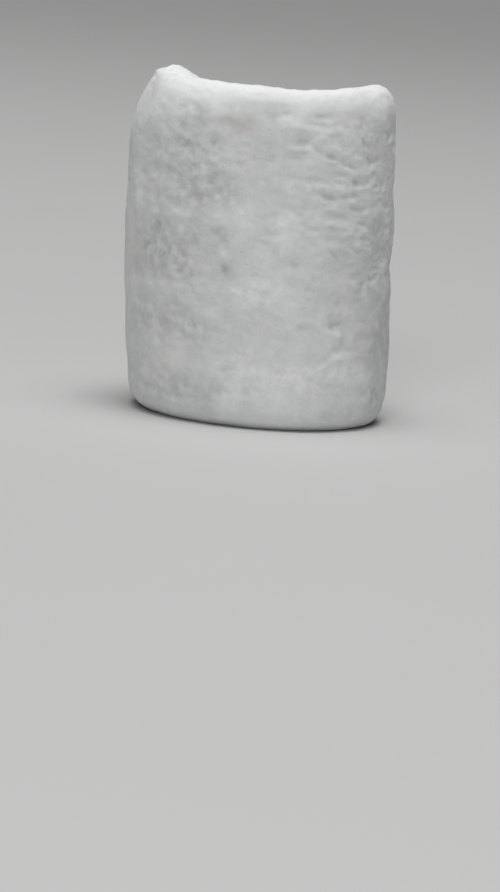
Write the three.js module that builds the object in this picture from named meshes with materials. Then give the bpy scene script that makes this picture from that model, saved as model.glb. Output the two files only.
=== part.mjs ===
// A large white marshmallow: one soft aerated plug, cut flat at its foot, leaning a little to its
// left, with a broad soft shoulder on that side, an uneven lip and a shallow dish in its top.
// Millimetres, +Z up, front towards -Y. The origin lies in the foot's plane, under the middle of
// the whole shape. Bearings are degrees from the front towards +X.
import * as THREE from 'three';
import { mergeVertices } from 'three/addons/utils/BufferGeometryUtils.js';

const degree = Math.PI / 180;

const wall = {
  radius: 13.86,        // at the waist, the widest level
  waist: 17.5,          // height of the widest level
  barrel: 0.45,         // how much narrower the wall is at the foot and the rim
  reach: 15.8,          // height above or below the waist where that much is gone
  lean: -1.46,          // how far the middle has moved in X by leanTop
  leanTop: 33,
  leanCurve: 1.15,      // over 1, the foot stands straighter than the middle
  middle: { x: 0.907, y: 0.007 },  // from the whole shape's middle to the foot's middle
};

// slow unevenness round the wall: how many lobes, how high, and the bearing of the first crest
const outOfRound = [
  { lobes: 2, high: 0.16, crest: 40 },
  { lobes: 3, high: 0.09, crest: 35 },
  { lobes: 5, high: 0.05, crest: 12 },
];

const foot = {
  inset: 1.7,           // rounding from the wall in to the edge of the flat foot
  rise: 2.0,            // rounding from the foot up to the wall
  fullness: 1.0,        // under 1, the rounding is fuller than a plain ellipse
};
const footLobes = [
  { bearing: -95, width: 50, inset: 0.5, rise: 0.6, fullness: 0 },
  { bearing: 85, width: 40, inset: 0.35, rise: 3.0, fullness: -0.35 },
];

const rim = {
  height: 34.2,         // the lip at the front, before the lobes below
  inset: 2.0,           // rounding from the wall in to the lip's crest
  drop: 2.6,            // rounding from the crest down to the wall
  fullness: 0.87,       // as at the foot
};

// where the lip stands higher or lower, and where its shoulder is broader
const rimLobes = [
  { bearing: -72, width: 18, lift: 0.72, inset: 0.65, drop: 2.6 },
  { bearing: -62, width: 5, lift: 0.20, inset: 0.0, drop: 0.0 },
  { bearing: -101, width: 33, lift: 0.75, inset: 1.6, drop: 7.0 },
  { bearing: -44, width: 20, lift: 0.14, inset: 0.5, drop: 0.9 },
  { bearing: 82, width: 34, lift: 0.68, inset: -0.05, drop: 0.6 },
  { bearing: 45, width: 8, lift: 0.10, inset: 0.0, drop: 0.0 },
  { bearing: 172, width: 58, lift: -1.15, inset: 0.6, drop: 2.2 },
];

const dish = {
  depth: 1.9,           // floor of the dish below the lip at the front
  slope: 0.55,          // share of the way in where the floor is reached
  puckers: 13,          // gathers round the inside of the lip
  puckerHigh: 0.13,
  puckerAt: 0.24,       // share of the way in where the gathers are strongest
  puckerWide: 0.16,
};

// uneven swelling of the skin: waves in evenly spread directions
const swelling = { waves: 11, longest: 10.5, shortest: 3.4, high: 0.024, phase: 2.1, deal: 5 };
const goldenAngle = Math.PI * (3 - Math.sqrt(5));

// dents (deep over 0) and bumps (deep under 0): bearing, height, half widths round and up, depth
const marks = [
  { at: [90, 16.4], half: [5.0, 1.5], deep: 0.30 },      // notch across the right wall
  { at: [-14, 15.9], half: [0.7, 0.7], deep: 0.22 },
  { at: [-14, 19.2], half: [0.8, 1.3], deep: 0.20 },
  { at: [-14, 21.6], half: [1.4, 1.3], deep: -0.12 },
  { at: [-29, 31.0], half: [0.8, 1.0], deep: 0.10 },
  { at: [-37, 29.7], half: [0.8, 0.8], deep: 0.13 },
  { at: [-34, 28.1], half: [0.9, 0.8], deep: 0.14 },
  { at: [-21, 28.5], half: [0.8, 1.0], deep: 0.10 },
  { at: [-50, 22.8], half: [0.9, 0.8], deep: 0.18 },
  { at: [-49, 19.7], half: [0.9, 0.8], deep: 0.18 },
  { at: [-61, 21.7], half: [1.2, 1.6], deep: -0.16 },
  { at: [14, 17.0], half: [1.5, 0.9], deep: 0.16 },
  { at: [2, 27.6], half: [1.5, 1.6], deep: 0.12 },
  { at: [16, 30.6], half: [1.7, 0.9], deep: -0.11 },
  { at: [42, 20.1], half: [1.4, 1.1], deep: -0.05 },
  { at: [20, 10.5], half: [1.2, 1.0], deep: 0.14 },
  { at: [0, 7.5], half: [1.4, 1.0], deep: 0.10 },
  { at: [36, 11.1], half: [1.3, 0.6], deep: 0.14 },
  { at: [36, 9.8], half: [0.8, 0.8], deep: -0.14 },
  { at: [36, 8.4], half: [0.8, 0.6], deep: 0.10 },
  { at: [36, 7.5], half: [0.9, 0.6], deep: -0.08 },
];

// the same kind of marks round the far side, spaced by a rule
const farMarks = { count: 16, from: 95, sweep: 170, low: 5, high: 30, half: [2.2, 1.7], deep: 0.12 };
const goldenShare = (Math.sqrt(5) - 1) / 2;

// creases pressed into the skin: two ends as bearing and height, half width and depth
const creases = [
  { from: [12, 29.6], to: [20, 29.0], half: 0.50, deep: 0.08 },
  { from: [22, 28.5], to: [38, 27.0], half: 0.45, deep: 0.12 },
  { from: [26, 24.0], to: [40, 23.2], half: 0.45, deep: 0.08 },
  { from: [39, 23.1], to: [50, 23.8], half: 0.45, deep: 0.06 },
  { from: [28, 22.4], to: [40, 21.4], half: 0.50, deep: 0.09 },
  { from: [47, 29.5], to: [56, 29.0], half: 0.45, deep: 0.07 },
  { from: [50, 27.9], to: [56, 27.2], half: 0.45, deep: 0.07 },
  { from: [56, 27.2], to: [63, 28.1], half: 0.45, deep: 0.07 },
  { from: [59, 25.6], to: [71, 21.6], half: 0.55, deep: 0.09 },
  { from: [55, 20.2], to: [70, 17.6], half: 0.55, deep: 0.09 },
  { from: [118, 28.2], to: [146, 24.6], half: 0.75, deep: 0.30 },
  { from: [205, 14.5], to: [228, 11.8], half: 0.75, deep: 0.26 },
];
const crease = {
  lowerSide: 1.7,       // how much gentler a crease's lower side is than its upper side
  ridge: 0.20,          // swollen edge under a crease, as a share of its depth
  ridgeAt: 2.6,         // its distance from the crease, in half widths
  fade: 0.25,           // share of the length over which an end fades in
  past: 0.12,           // share of the length by which it runs past its ends
};

const grid = { round: 26, up: 40 };      // faces along each quarter of the girth, and up the side
const hair = 1e-5;                       // far smaller than a step of the grid

const lobe = (bearing, centre, width) => {
  const off = ((bearing - centre + 540) % 360) - 180;
  return Math.exp(-((off / width) ** 2));
};

const smooth = (from, to, value) => {
  const share = Math.min(Math.max((value - from) / (to - from), 0), 1);
  return share * share * (3 - 2 * share);
};

const withLobes = (base, lobes, key, bearing) =>
  lobes.reduce((sum, l) => sum + l[key] * lobe(bearing, l.bearing, l.width), base);

// middle of the body at a height: it leans to one side
function middleX(z) {
  const share = Math.min(z / wall.leanTop, 1) ** wall.leanCurve;
  return wall.middle.x + wall.lean * Math.sin((Math.PI / 2) * share);
}

// barrel-shaped wall, before its edges are rounded
function wallRadius(bearing, z) {
  let radius = wall.radius - wall.barrel * ((z - wall.waist) / wall.reach) ** 2;
  for (const o of outOfRound) {
    radius += o.high * Math.cos(o.lobes * (bearing - o.crest) * degree);
  }
  return radius;
}

// a point at a bearing and radius from the leaning middle line
function around(bearing, radius, z) {
  const x = middleX(z) + radius * Math.sin(bearing * degree);
  const y = wall.middle.y - radius * Math.cos(bearing * degree);
  return new THREE.Vector3(x, y, z);
}

const rimHeight = (bearing) => withLobes(rim.height, rimLobes, 'lift', bearing);

function footRadius(bearing) {
  return wallRadius(bearing, 0) - withLobes(foot.inset, footLobes, 'inset', bearing);
}

function crestRadius(bearing) {
  return wallRadius(bearing, rimHeight(bearing)) - withLobes(rim.inset, rimLobes, 'inset', bearing);
}

const quarterArc = (a, b) => (Math.PI / 2) * Math.hypot(a, b) / Math.SQRT2;

// side of the body from the edge of the foot (share 0) to the crest of the lip (share 1)
function sidePoint(bearing, share) {
  const rise = withLobes(foot.rise, footLobes, 'rise', bearing);
  const inset = withLobes(foot.inset, footLobes, 'inset', bearing);
  const fullness = withLobes(foot.fullness, footLobes, 'fullness', bearing);
  const drop = withLobes(rim.drop, rimLobes, 'drop', bearing);
  const shoulder = withLobes(rim.inset, rimLobes, 'inset', bearing);
  const top = rimHeight(bearing);
  const footArc = quarterArc(inset, rise);
  const shoulderArc = quarterArc(shoulder, drop);
  const straight = top - drop - rise;
  let along = share * (footArc + straight + shoulderArc);
  if (along < footArc) {
    const turn = (Math.PI / 2) * (1 - along / footArc);
    const z = rise * (1 - Math.sin(turn));
    const tuckedIn = inset * (1 - Math.max(Math.cos(turn), 0) ** fullness);
    return around(bearing, wallRadius(bearing, z) - tuckedIn, z);
  }
  along -= footArc;
  if (along < straight) {
    return around(bearing, wallRadius(bearing, rise + along), rise + along);
  }
  const turn = (Math.PI / 2) * Math.min((along - straight) / shoulderArc, 1);
  const z = top - drop + drop * Math.sin(turn);
  const pulledIn = shoulder * (1 - Math.max(Math.cos(turn), 0) ** rim.fullness);
  return around(bearing, wallRadius(bearing, z) - pulledIn, z);
}

// top of the body: share 1 is the crest of the lip, share 0 the middle of the dish
function topPoint(bearing, share) {
  const inward = 1 - share;
  const crest = rimHeight(bearing);
  const floor = rim.height - dish.depth;
  const gather = Math.exp(-(((inward - dish.puckerAt) / dish.puckerWide) ** 2));
  const pucker = dish.puckerHigh * gather * Math.cos(dish.puckers * bearing * degree);
  const z = crest + (floor - crest) * smooth(0, dish.slope, inward) + pucker;
  return around(bearing, crestRadius(bearing) * share, z);
}

const footPoint = (bearing, share) => around(bearing, footRadius(bearing) * share, 0);

// directions spread evenly over a half sphere, with the lengths dealt out among them
function makeWaves() {
  const waves = [];
  for (let n = 0; n < swelling.waves; n++) {
    const up = (n + 0.5) / swelling.waves;
    const flat = Math.sqrt(1 - up * up);
    const turn = n * goldenAngle;
    const deal = ((n * swelling.deal) % swelling.waves) / swelling.waves;
    const length = swelling.longest * (swelling.shortest / swelling.longest) ** deal;
    const along = new THREE.Vector3(flat * Math.cos(turn), flat * Math.sin(turn), up);
    waves.push({ along, rate: (2 * Math.PI) / length, phase: n * swelling.phase });
  }
  return waves;
}

const waves = makeWaves();

function swell(point) {
  return waves.reduce((sum, w) => sum + swelling.high * Math.sin(point.dot(w.along) * w.rate + w.phase), 0);
}

function allMarks() {
  const all = [...marks];
  for (let n = 0; n < farMarks.count; n++) {
    const bearing = farMarks.from + farMarks.sweep * ((n + 0.5) / farMarks.count);
    const height = farMarks.low + (farMarks.high - farMarks.low) * ((n * goldenShare) % 1);
    const sign = n % 3 === 2 ? -1 : 1;          // every third one is a bump
    all.push({ at: [bearing, height], half: farMarks.half, deep: sign * farMarks.deep });
  }
  return all;
}

const skinMarks = allMarks();

// distance round the wall between two bearings
const roundBy = (from, to) => (((from - to + 540) % 360) - 180) * degree * wall.radius;

function markDepth(bearing, z) {
  let sum = 0;
  for (const m of skinMarks) {
    const across = roundBy(bearing, m.at[0]) / m.half[0];
    const up = (z - m.at[1]) / m.half[1];
    sum += m.deep * Math.exp(-(across * across + up * up));
  }
  return sum;
}

// a groove, steeper on its upper side, with a swollen edge under it, fading out at both ends
function creaseDepth(bearing, z) {
  let sum = 0;
  for (const c of creases) {
    const run = roundBy(c.to[0], c.from[0]);
    const rise = c.to[1] - c.from[1];
    const length = Math.hypot(run, rise);
    const x = roundBy(bearing, c.from[0]);
    const y = z - c.from[1];
    const along = (x * run + y * rise) / length / length;
    const aside = (y * run - x * rise) / length / c.half;
    const starts = smooth(-crease.past, crease.fade, along);
    const ends = smooth(-crease.past, crease.fade, 1 - along);
    const ridge = crease.ridge * Math.exp(-((aside + crease.ridgeAt) ** 2));
    const wide = aside > 0 ? 1 : crease.lowerSide;
    sum += c.deep * starts * ends * (Math.exp(-((aside / wide) ** 2)) - ridge);
  }
  return sum;
}

// how far the skin stands out from the smooth form; the flat foot stays flat
function relief(point) {
  const bearing = Math.atan2(point.x - middleX(point.z), wall.middle.y - point.y) / degree;
  const clearOfFoot = smooth(0, foot.rise, point.z);
  const clearOfTop = 1 - smooth(rim.height - rim.drop, rim.height, point.z);
  const pressed = (markDepth(bearing, point.z) + creaseDepth(bearing, point.z)) * clearOfTop;
  return (swell(point) - pressed) * clearOfFoot;
}

// a box whose faces become the foot, the side and the dish: its square rings turn into round ones
function marshmallowGeometry() {
  const box = new THREE.BoxGeometry(2, 2, 2, grid.round, grid.round, grid.up);
  box.deleteAttribute('normal');
  box.deleteAttribute('uv');
  box.clearGroups();
  const geometry = mergeVertices(box, hair);
  const position = geometry.getAttribute('position');
  const corner = new THREE.Vector3();
  for (let i = 0; i < position.count; i++) {
    corner.fromBufferAttribute(position, i);
    const ring = Math.max(Math.abs(corner.x), Math.abs(corner.y));
    const bearing = ring > 0 ? squareBearing(corner.x / ring, corner.y / ring) : 0;
    const onTop = corner.z > 1 - hair;
    const onFoot = corner.z < -1 + hair;
    const side = sidePoint(bearing, (corner.z + 1) / 2);
    const point = onTop ? topPoint(bearing, ring) : onFoot ? footPoint(bearing, ring) : side;
    position.setXYZ(i, point.x, point.y, point.z);
  }
  geometry.computeVertexNormals();
  const normal = geometry.getAttribute('normal');
  const outward = new THREE.Vector3();
  for (let i = 0; i < position.count; i++) {
    corner.fromBufferAttribute(position, i);
    outward.fromBufferAttribute(normal, i);
    corner.addScaledVector(outward, relief(corner));
    position.setXYZ(i, corner.x, corner.y, Math.max(corner.z, 0));
  }
  geometry.computeVertexNormals();
  return geometry;
}

// bearing of a point on the edge of a square, with each side of the square taking a quarter turn
function squareBearing(x, y) {
  if (Math.abs(y) >= Math.abs(x)) {
    return y < 0 ? 45 * x : 180 - 45 * x;
  }
  return x > 0 ? 90 + 45 * y : -90 - 45 * y;
}

function marshmallowMaterial() {
  return new THREE.MeshStandardMaterial({ color: 0xeceae6, roughness: 0.92, metalness: 0 });
}

const part = new THREE.Group();
const marshmallow = new THREE.Mesh(marshmallowGeometry(), marshmallowMaterial());
marshmallow.name = 'marshmallow';
part.add(marshmallow);

export default part;
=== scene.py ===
import bpy
import bmesh
import math
import random
from mathutils import Matrix, Vector, noise


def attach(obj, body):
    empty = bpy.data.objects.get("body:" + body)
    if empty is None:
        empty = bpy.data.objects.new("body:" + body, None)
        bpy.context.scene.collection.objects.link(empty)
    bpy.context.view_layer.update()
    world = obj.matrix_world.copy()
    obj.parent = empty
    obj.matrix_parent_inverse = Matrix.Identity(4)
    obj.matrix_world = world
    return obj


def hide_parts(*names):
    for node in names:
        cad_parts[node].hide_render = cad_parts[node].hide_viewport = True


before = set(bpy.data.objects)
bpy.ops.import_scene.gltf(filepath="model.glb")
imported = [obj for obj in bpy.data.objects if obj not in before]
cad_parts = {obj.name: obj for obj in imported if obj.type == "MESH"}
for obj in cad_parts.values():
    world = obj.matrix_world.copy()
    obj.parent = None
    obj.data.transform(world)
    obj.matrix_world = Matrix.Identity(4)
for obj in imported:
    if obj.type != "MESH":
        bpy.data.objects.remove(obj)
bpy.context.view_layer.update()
mm = 0.001
print("frame loaded:", sorted(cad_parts))


def smooth(start, end, value):
    share = min(max((value - start) / (end - start), 0.0), 1.0)
    return share * share * (3.0 - 2.0 * share)


def lobe(bearing, centre, width):
    off = (bearing - centre + 540.0) % 360.0 - 180.0
    return math.exp(-(off / width) ** 2)


def withLobes(base, lobes, key, bearing):
    return base + sum(entry[key] * lobe(bearing, entry["bearing"], entry["width"]) for entry in lobes)


# the foot of the sweet shows at footPixel, and the camera is tipped down and rolled a little
cameraSetup = {
    "frameSize": (500, 892),      # pixels of the finished picture
    "footPixel": (256, 412),
    "focal": 3264.0,              # focal length in those pixels
    "distance": 0.340,            # from the foot, along the view
    "pitch": 8.7,                 # degrees down
    "roll": 4.3,                  # degrees the sweet appears turned clockwise
    "footAt": (0.907 * mm, 0.0, 0.0),
    "sensor": 36.0,
    "clip": (0.01, 50.0),
}


def buildCamera(setup):
    pitch = math.radians(setup["pitch"])
    roll = math.radians(setup["roll"])
    ahead = Vector((0.0, math.cos(pitch), -math.sin(pitch)))
    above = Vector((0.0, math.sin(pitch), math.cos(pitch)))
    side = Vector((1.0, 0.0, 0.0))
    width, height = setup["frameSize"]
    acrossPixel = setup["footPixel"][0] - width / 2
    upPixel = height / 2 - setup["footPixel"][1]
    across = math.cos(roll) * acrossPixel - math.sin(roll) * upPixel
    up = math.sin(roll) * acrossPixel + math.cos(roll) * upPixel
    toFoot = ahead + side * (across / setup["focal"]) + above * (up / setup["focal"])
    place = Vector(setup["footAt"]) - toFoot * setup["distance"]

    right = side * math.cos(roll) + above * math.sin(roll)
    top = above * math.cos(roll) - side * math.sin(roll)
    turn = Matrix((right, top, -ahead)).transposed().to_4x4()
    data = bpy.data.cameras.new("viewCamera")
    data.sensor_width = setup["sensor"]
    data.lens = setup["focal"] / height * setup["sensor"]
    data.clip_start, data.clip_end = setup["clip"]
    camera = bpy.data.objects.new("viewCamera", data)
    camera.matrix_world = Matrix.Translation(place) @ turn
    bpy.context.scene.collection.objects.link(camera)
    bpy.context.scene.camera = camera


buildCamera(cameraSetup)
print("camera placed")


# the body has the same driving sizes as the solid, in millimetres and degrees,
# with bearings that run from the front towards +X
wall = {
    "radius": 13.86,          # at the waist, the widest level
    "waist": 17.5,            # its height
    "barrel": 0.45,           # how much narrower the wall is at the foot and the rim
    "reach": 15.8,            # height above or below the waist where that much is gone
    "lean": -1.46,            # how far the middle has moved in X by leanTop
    "leanTop": 33.0,
    "leanCurve": 1.15,        # over 1, the foot stands straighter than the middle
    "middle": (0.907, 0.007),
}
# slow unevenness round the wall: how many lobes, how high, and the bearing of the first crest
outOfRound = [
    {"lobes": 2, "high": 0.16, "crest": 40},
    {"lobes": 3, "high": 0.09, "crest": 35},
    {"lobes": 5, "high": 0.05, "crest": 12},
]
# rounding of the two ends: how far in, how far up or down, and how full the curve is
foot = {"inset": 1.7, "rise": 2.0, "fullness": 1.0}
footLobes = [
    {"bearing": -95, "width": 50, "inset": 0.5, "rise": 0.6, "fullness": 0.0},
    {"bearing": 85, "width": 40, "inset": 0.35, "rise": 3.0, "fullness": -0.35},
]
rim = {"height": 34.2, "inset": 2.0, "drop": 2.6, "fullness": 0.87}
# where the lip stands higher or lower, and where its shoulder is broader
rimLobes = [
    {"bearing": -72, "width": 18, "lift": 0.72, "inset": 0.65, "drop": 2.6},
    {"bearing": -62, "width": 5, "lift": 0.2, "inset": 0.0, "drop": 0.0},
    {"bearing": -101, "width": 33, "lift": 0.75, "inset": 1.6, "drop": 7.0},
    {"bearing": -44, "width": 20, "lift": 0.14, "inset": 0.5, "drop": 0.9},
    {"bearing": 82, "width": 34, "lift": 0.68, "inset": -0.05, "drop": 0.6},
    {"bearing": 45, "width": 8, "lift": 0.1, "inset": 0.0, "drop": 0.0},
    {"bearing": 172, "width": 58, "lift": -1.15, "inset": 0.6, "drop": 2.2},
]
dish = {
    "depth": 1.9,             # floor of the dish below the lip at the front
    "slope": 0.55,            # share of the way in where the floor is reached
    "puckers": 13,            # gathers round the inside of the lip
    "puckerHigh": 0.13,
    "puckerAt": 0.24,         # share of the way in where they are strongest
    "puckerWide": 0.16,
}
# uneven swelling of the skin: waves in evenly spread directions
swelling = {"waves": 11, "longest": 10.5, "shortest": 3.4, "high": 0.024, "phase": 2.1, "deal": 5}
goldenAngle = math.pi * (3.0 - math.sqrt(5.0))
goldenShare = (math.sqrt(5.0) - 1.0) / 2.0


def spot(bearing, height, wide, high, deep):
    # a round mark: where its middle is, its half widths round and up, and its depth
    return {"at": (bearing, height), "half": (wide, high), "deep": deep}


def stroke(bearing, height, toBearing, toHeight, half, deep):
    # a straight crease: where its two ends are, its half width and its depth
    return {"start": (bearing, height), "end": (toBearing, toHeight), "half": half, "deep": deep}


# dents (deep over 0) and bumps (deep under 0)
marks = [
    spot(90, 16.4, 5.0, 1.5, 0.3),
    spot(-14, 15.9, 0.7, 0.7, 0.22),
    spot(-14, 19.2, 0.8, 1.3, 0.2),
    spot(-14, 21.6, 1.4, 1.3, -0.12),
    spot(-29, 31.0, 0.8, 1.0, 0.1),
    spot(-37, 29.7, 0.8, 0.8, 0.13),
    spot(-34, 28.1, 0.9, 0.8, 0.14),
    spot(-21, 28.5, 0.8, 1.0, 0.1),
    spot(-50, 22.8, 0.9, 0.8, 0.18),
    spot(-49, 19.7, 0.9, 0.8, 0.18),
    spot(-61, 21.7, 1.2, 1.6, -0.16),
    spot(14, 17.0, 1.5, 0.9, 0.16),
    spot(2, 27.6, 1.5, 1.6, 0.12),
    spot(16, 30.6, 1.7, 0.9, -0.11),
    spot(42, 20.1, 1.4, 1.1, -0.05),
    spot(20, 10.5, 1.2, 1.0, 0.14),
    spot(0, 7.5, 1.4, 1.0, 0.1),
    spot(36, 11.1, 1.3, 0.6, 0.14),
    spot(36, 9.8, 0.8, 0.8, -0.14),
    spot(36, 8.4, 0.8, 0.6, 0.1),
    spot(36, 7.5, 0.9, 0.6, -0.08),
]
# and the same kind of marks round the far side, spaced by a rule
farMarks = {"count": 16, "start": 95, "sweep": 170, "low": 5, "high": 30, "half": (2.2, 1.7), "deep": 0.12}
farTurned = 3                 # every third one has the other sign

creases = [
    stroke(12, 29.6, 20, 29.0, 0.5, 0.08),
    stroke(22, 28.5, 38, 27.0, 0.45, 0.12),
    stroke(26, 24.0, 40, 23.2, 0.45, 0.08),
    stroke(39, 23.1, 50, 23.8, 0.45, 0.06),
    stroke(28, 22.4, 40, 21.4, 0.5, 0.09),
    stroke(47, 29.5, 56, 29.0, 0.45, 0.07),
    stroke(50, 27.9, 56, 27.2, 0.45, 0.07),
    stroke(56, 27.2, 63, 28.1, 0.45, 0.07),
    stroke(59, 25.6, 71, 21.6, 0.55, 0.09),
    stroke(55, 20.2, 70, 17.6, 0.55, 0.09),
    stroke(118, 28.2, 146, 24.6, 0.75, 0.3),
    stroke(205, 14.5, 228, 11.8, 0.75, 0.26),
]
creaseShape = {
    "lowerSide": 1.7,         # how much gentler the lower side is than the upper side
    "ridge": 0.2,             # swollen edge under a crease, as a share of its depth
    "ridgeAt": 2.6,           # its distance from the crease, in half widths
    "fade": 0.25,             # share of the length over which an end fades in
    "past": 0.12,             # share of the length by which it runs past its ends
}
markReach = 3.0               # half widths past which a mark is left out
creaseReach = 5.0             # and a crease

skinGrid = {
    "quarter": 88,      # faces along each quarter of the girth
    "up": 230,         # faces up the side
}


def middleX(z):
    share = min(max(z, 0.0) / wall["leanTop"], 1.0) ** wall["leanCurve"]
    return wall["middle"][0] + wall["lean"] * math.sin(math.pi / 2 * share)


def roundness(bearing):
    total = 0.0
    for entry in outOfRound:
        total += entry["high"] * math.cos(entry["lobes"] * math.radians(bearing - entry["crest"]))
    return total


def wallRadius(z, uneven):
    return wall["radius"] - wall["barrel"] * ((z - wall["waist"]) / wall["reach"]) ** 2 + uneven


def around(bearing, radius, z):
    turn = math.radians(bearing)
    return Vector((middleX(z) + radius * math.sin(turn), wall["middle"][1] - radius * math.cos(turn), z))


def quarterArc(a, b):
    return math.pi / 2 * math.hypot(a, b) / math.sqrt(2.0)


def meridianAt(bearing):
    # every size that depends on the bearing alone
    section = {
        "uneven": roundness(bearing),
        "rise": withLobes(foot["rise"], footLobes, "rise", bearing),
        "footInset": withLobes(foot["inset"], footLobes, "inset", bearing),
        "footFullness": withLobes(foot["fullness"], footLobes, "fullness", bearing),
        "drop": withLobes(rim["drop"], rimLobes, "drop", bearing),
        "shoulder": withLobes(rim["inset"], rimLobes, "inset", bearing),
        "top": withLobes(rim["height"], rimLobes, "lift", bearing),
    }
    section["footArc"] = quarterArc(section["footInset"], section["rise"])
    section["shoulderArc"] = quarterArc(section["shoulder"], section["drop"])
    section["crest"] = wallRadius(section["top"], section["uneven"]) - section["shoulder"]
    section["foot"] = wallRadius(0.0, section["uneven"]) - section["footInset"]
    return section


def sidePoint(bearing, share, section):
    # from the edge of the foot (share 0) up to the crest of the lip (share 1)
    straight = section["top"] - section["drop"] - section["rise"]
    along = share * (section["footArc"] + straight + section["shoulderArc"])
    if along < section["footArc"]:
        turn = math.pi / 2 * (1.0 - along / section["footArc"])
        z = section["rise"] * (1.0 - math.sin(turn))
        inset = section["footInset"] * (1.0 - max(math.cos(turn), 0.0) ** section["footFullness"])
        return around(bearing, wallRadius(z, section["uneven"]) - inset, z)
    along -= section["footArc"]
    if along < straight:
        z = section["rise"] + along
        return around(bearing, wallRadius(z, section["uneven"]), z)
    turn = math.pi / 2 * min((along - straight) / section["shoulderArc"], 1.0)
    z = section["top"] - section["drop"] + section["drop"] * math.sin(turn)
    inset = section["shoulder"] * (1.0 - max(math.cos(turn), 0.0) ** rim["fullness"])
    return around(bearing, wallRadius(z, section["uneven"]) - inset, z)


def topPoint(bearing, share, section):
    # share 1 is the crest of the lip, share 0 the middle of the dish
    inward = 1.0 - share
    floor = rim["height"] - dish["depth"]
    gather = math.exp(-((inward - dish["puckerAt"]) / dish["puckerWide"]) ** 2)
    pucker = dish["puckerHigh"] * gather * math.cos(dish["puckers"] * math.radians(bearing))
    z = section["top"] + (floor - section["top"]) * smooth(0.0, dish["slope"], inward) + pucker
    return around(bearing, section["crest"] * share, z)


def squareBearing(x, y):
    # each side of the box takes a quarter turn
    if abs(y) >= abs(x):
        return 45.0 * x if y < 0 else 180.0 - 45.0 * x
    return 90.0 + 45.0 * y if x > 0 else -90.0 - 45.0 * y


def makeWaves():
    waves = []
    for n in range(swelling["waves"]):
        up = (n + 0.5) / swelling["waves"]
        flat = math.sqrt(1.0 - up * up)
        turn = n * goldenAngle
        deal = (n * swelling["deal"] % swelling["waves"]) / swelling["waves"]
        length = swelling["longest"] * (swelling["shortest"] / swelling["longest"]) ** deal
        along = Vector((flat * math.cos(turn), flat * math.sin(turn), up))
        waves.append((along, 2.0 * math.pi / length, n * swelling["phase"]))
    return waves


def spreadMarks(rule):
    # evenly spaced round the far side, dents and bumps in turn
    made = []
    for n in range(rule["count"]):
        bearing = rule["start"] + rule["sweep"] * (n + 0.5) / rule["count"]
        height = rule["low"] + (rule["high"] - rule["low"]) * (n * goldenShare % 1.0)
        sign = -1.0 if (n + 1) % farTurned == 0 else 1.0
        made.append(spot(bearing, height, *rule["half"], sign * rule["deep"]))
    return made


waves = makeWaves()
skinMarks = marks + spreadMarks(farMarks)


def swell(point):
    return swelling["high"] * sum(math.sin(point.dot(along) * rate + phase) for along, rate, phase in waves)


def roundBy(bearing, start):
    # distance round the wall between two bearings
    return math.radians((bearing - start + 540.0) % 360.0 - 180.0) * wall["radius"]


def markDepth(bearing, z, spots):
    total = 0.0
    for mark in spots:
        up = (z - mark["at"][1]) / mark["half"][1]
        if abs(up) < markReach:
            across = roundBy(bearing, mark["at"][0]) / mark["half"][0]
            total += mark["deep"] * math.exp(-(across * across + up * up))
    return total


def creaseDepth(bearing, z, lines):
    # a groove, steeper on its upper side, with a swollen edge under it, fading out at both ends
    total = 0.0
    for crease in lines:
        run = roundBy(crease["end"][0], crease["start"][0])
        rise = crease["end"][1] - crease["start"][1]
        length = math.hypot(run, rise)
        x = roundBy(bearing, crease["start"][0])
        y = z - crease["start"][1]
        along = (x * run + y * rise) / length / length
        aside = (y * run - x * rise) / length / crease["half"]
        if abs(aside) > creaseReach or not -creaseShape["past"] < along < 1.0 + creaseShape["past"]:
            continue
        starts = smooth(-creaseShape["past"], creaseShape["fade"], along)
        ends = smooth(-creaseShape["past"], creaseShape["fade"], 1.0 - along)
        ridge = creaseShape["ridge"] * math.exp(-(aside + creaseShape["ridgeAt"]) ** 2)
        wide = 1.0 if aside > 0.0 else creaseShape["lowerSide"]
        total += crease["deep"] * starts * ends * (math.exp(-(aside / wide) ** 2) - ridge)
    return total


# finer relief than the solid has, in millimetres. Each layer of soft noise has a height, a size,
# and a shift that sets it apart from the others
layers = {
    "peel": (0.105, 1.4, 2.0),        # soft orange peel on the side
    "pimples": (0.07, 0.72, 11.0),
    "grain": (0.014, 0.45, 7.0),
    "crumbs": (0.09, 0.7, 3.0),       # on the crest of the lip
    "lipPeel": (0.0525, 1.4, 6.0),
    "dishPeel": (0.084, 1.4, 6.0),
    "dishGrain": (0.0196, 0.45, 8.0),
    "footPeel": (0.063, 1.4, 33.0),
    "roughVaries": (0.5, 9.0, 4.0),   # added to the roughness
    "wrinkleTurn": (0.7, 2.5, 9.0),   # how far wrinkles wander out of line
    "drawWander": (6.0, 4.0, 12.0),   # how far draw lines stray from even spacing
    "drawUneven": (2.2, 4.5, 17.0),   # and from even strength
}
# small pits in the side and open bubbles in the two cut ends, where a noise passes a bar:
# depth, size, shift and bar
holes = {
    "pits": (0.06, 1.2, 21.0, 0.22),
    "dishBubbles": (0.13, 1.15, 30.0, 0.26),
    "footBubbles": (0.104, 0.92, 40.0, 0.28),
}
holeSlope = 0.3               # how far past the bar a hole has its whole depth

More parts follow.
